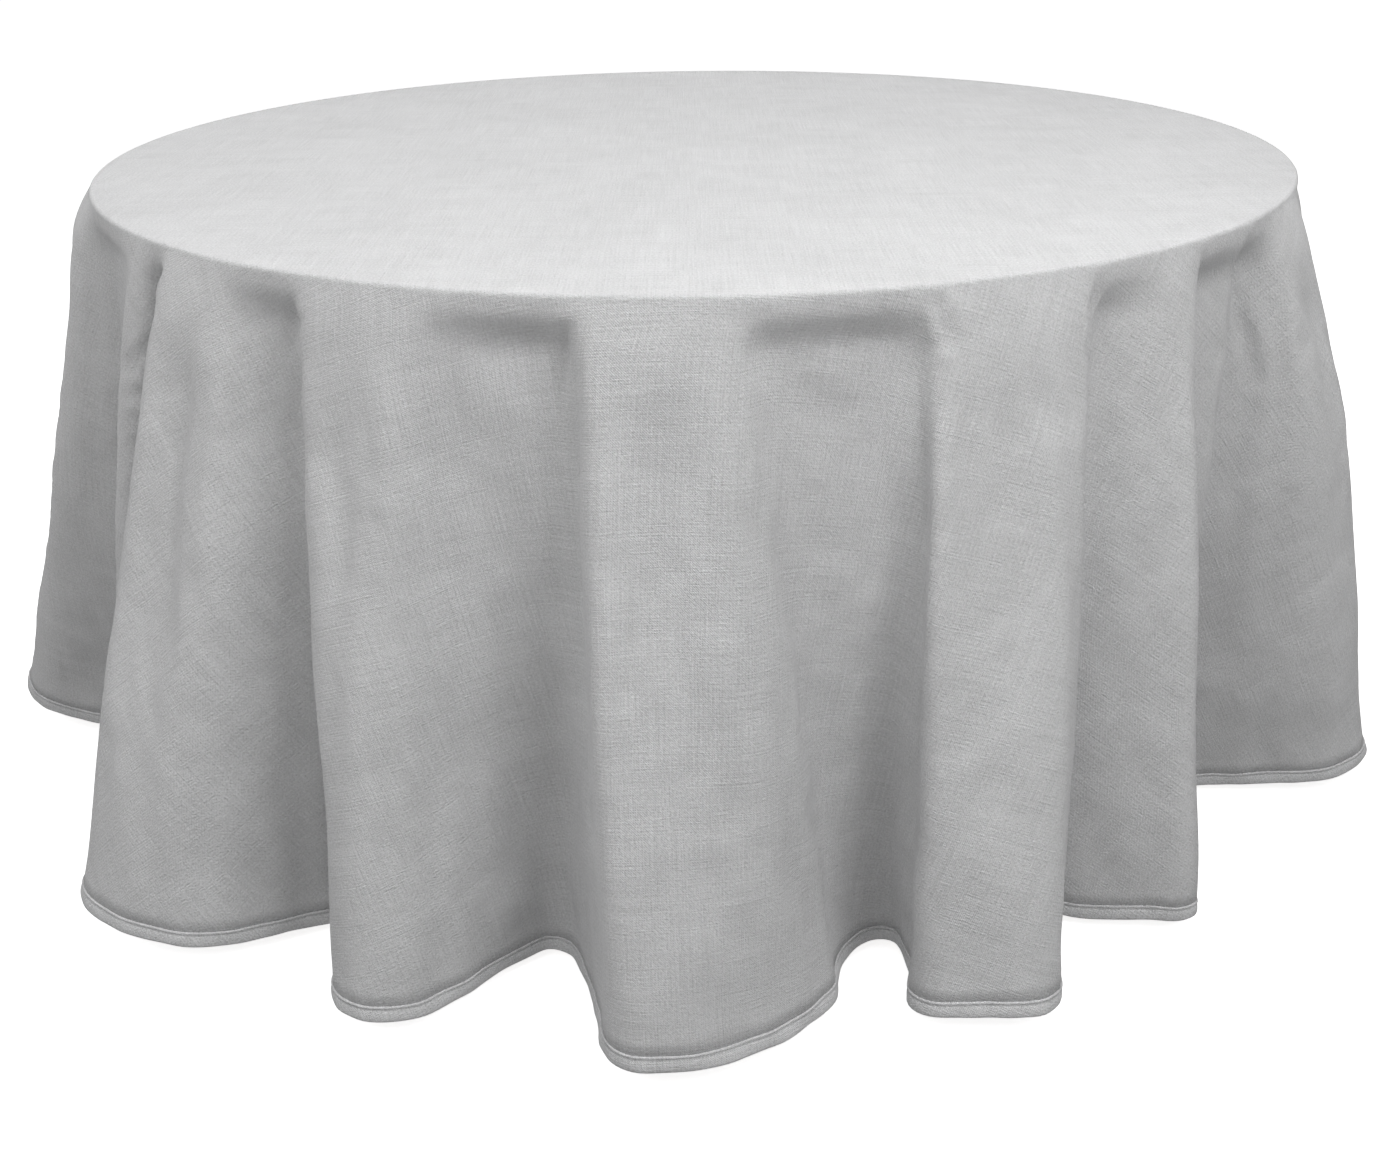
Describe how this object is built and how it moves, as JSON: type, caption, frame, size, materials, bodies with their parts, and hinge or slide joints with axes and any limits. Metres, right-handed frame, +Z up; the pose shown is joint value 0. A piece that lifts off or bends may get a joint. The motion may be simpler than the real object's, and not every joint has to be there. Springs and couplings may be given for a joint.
{
  "type": "tablecloth on a folding table",
  "caption": "Round floor-length tablecloth with deep hanging folds and a stitched hem, draped over a round folding banquet table.",
  "frame": {"origin": "on the floor, under the middle of the round table", "axes": "+Z up from the floor; -Y is the front, the side the cloth's main folds face; +X to the right seen from the front, along the line between the two leg frames"},
  "size_m": [1.9271, 1.8871, 0.7623],
  "materials": {
    "cloth": "light grey plain-weave cotton and polyester, matt",
    "plywood": "clear-coated birch plywood",
    "edge_band": "dark brown moulded edge band, satin",
    "painted_steel": "grey powder coat, fine texture",
    "zinc_steel": "bright zinc plate",
    "rubber": "black moulded rubber"
  },
  "bodies": {
    "table": {"table_board": "plywood", "edge_band": "edge_band", "centre_board": "plywood", "runner_front": "plywood", "hinge_block_front": "plywood", "runner_back": "plywood", "hinge_block_back": "plywood", "brace_bracket_left": "zinc_steel", "brace_pin_left": "zinc_steel", "bracket_screw_left_1": "zinc_steel", "bracket_screw_left_2": "zinc_steel", "hinge_clamp_left_front": "zinc_steel", "clamp_screw_left_front_1": "zinc_steel", "clamp_screw_left_front_2": "zinc_steel", "hinge_clamp_left_back": "zinc_steel", "clamp_screw_left_back_1": "zinc_steel", "clamp_screw_left_back_2": "zinc_steel", "brace_bracket_right": "zinc_steel", "brace_pin_right": "zinc_steel", "bracket_screw_right_1": "zinc_steel", "bracket_screw_right_2": "zinc_steel", "hinge_clamp_right_front": "zinc_steel", "clamp_screw_right_front_1": "zinc_steel", "clamp_screw_right_front_2": "zinc_steel", "hinge_clamp_right_back": "zinc_steel", "clamp_screw_right_back_1": "zinc_steel", "clamp_screw_right_back_2": "zinc_steel"},
    "leg_frame_left": {"hinge_bar_left": "painted_steel", "stretcher_left": "painted_steel", "leg_left_front": "painted_steel", "foot_cap_left_front": "rubber", "brace_collar_left_front": "zinc_steel", "leg_left_back": "painted_steel", "foot_cap_left_back": "rubber", "brace_collar_left_back": "zinc_steel"},
    "upper_brace_left": {"brace_upper_left": "zinc_steel", "knee_rivet_left": "zinc_steel"},
    "lower_brace_left": {"brace_lower_left": "zinc_steel"},
    "leg_frame_right": {"hinge_bar_right": "painted_steel", "stretcher_right": "painted_steel", "leg_right_front": "painted_steel", "foot_cap_right_front": "rubber", "brace_collar_right_front": "zinc_steel", "leg_right_back": "painted_steel", "foot_cap_right_back": "rubber", "brace_collar_right_back": "zinc_steel"},
    "upper_brace_right": {"brace_upper_right": "zinc_steel", "knee_rivet_right": "zinc_steel"},
    "lower_brace_right": {"brace_lower_right": "zinc_steel"},
    "cloth": {"tablecloth": "cloth", "hem": "cloth"}
  },
  "joints": [
    {"name": "cloth_lift", "type": "slide", "parent": "table", "child": "cloth", "axis": [0, 0, 1], "range_m": [0, 0.8]},
    {"name": "leg_fold_left", "type": "hinge", "parent": "table", "child": "leg_frame_left", "pos_m": [-0.43, 0, 0.7077], "axis": [0, -1, 0], "range_deg": [0, 90]},
    {"name": "upper_brace_turn_left", "type": "hinge", "parent": "table", "child": "upper_brace_left", "pos_m": [-0.11, 0, 0.7077], "axis": [0, -1, 0], "range_deg": [0, 141]},
    {"name": "lower_brace_turn_left", "type": "hinge", "parent": "leg_frame_left", "child": "lower_brace_left", "pos_m": [-0.43, 0, 0.4477], "axis": [0, -1, 0], "range_deg": [-129.2, 0]},
    {"name": "leg_fold_right", "type": "hinge", "parent": "table", "child": "leg_frame_right", "pos_m": [0.43, 0, 0.6754], "axis": [0, 1, 0], "range_deg": [0, 90]},
    {"name": "upper_brace_turn_right", "type": "hinge", "parent": "table", "child": "upper_brace_right", "pos_m": [0.11, 0, 0.6754], "axis": [0, 1, 0], "range_deg": [0, 141]},
    {"name": "lower_brace_turn_right", "type": "hinge", "parent": "leg_frame_right", "child": "lower_brace_right", "pos_m": [0.43, 0, 0.4154], "axis": [0, 1, 0], "range_deg": [-129.2, 0]}
  ],
  "couplings": [
    {"joint": "upper_brace_turn_left", "follows": "leg_fold_left", "ratio": 1.5656},
    {"joint": "lower_brace_turn_left", "follows": "leg_fold_left", "ratio": -1.4344},
    {"joint": "upper_brace_turn_right", "follows": "leg_fold_right", "ratio": 1.5656},
    {"joint": "lower_brace_turn_right", "follows": "leg_fold_right", "ratio": -1.4344}
  ]
}
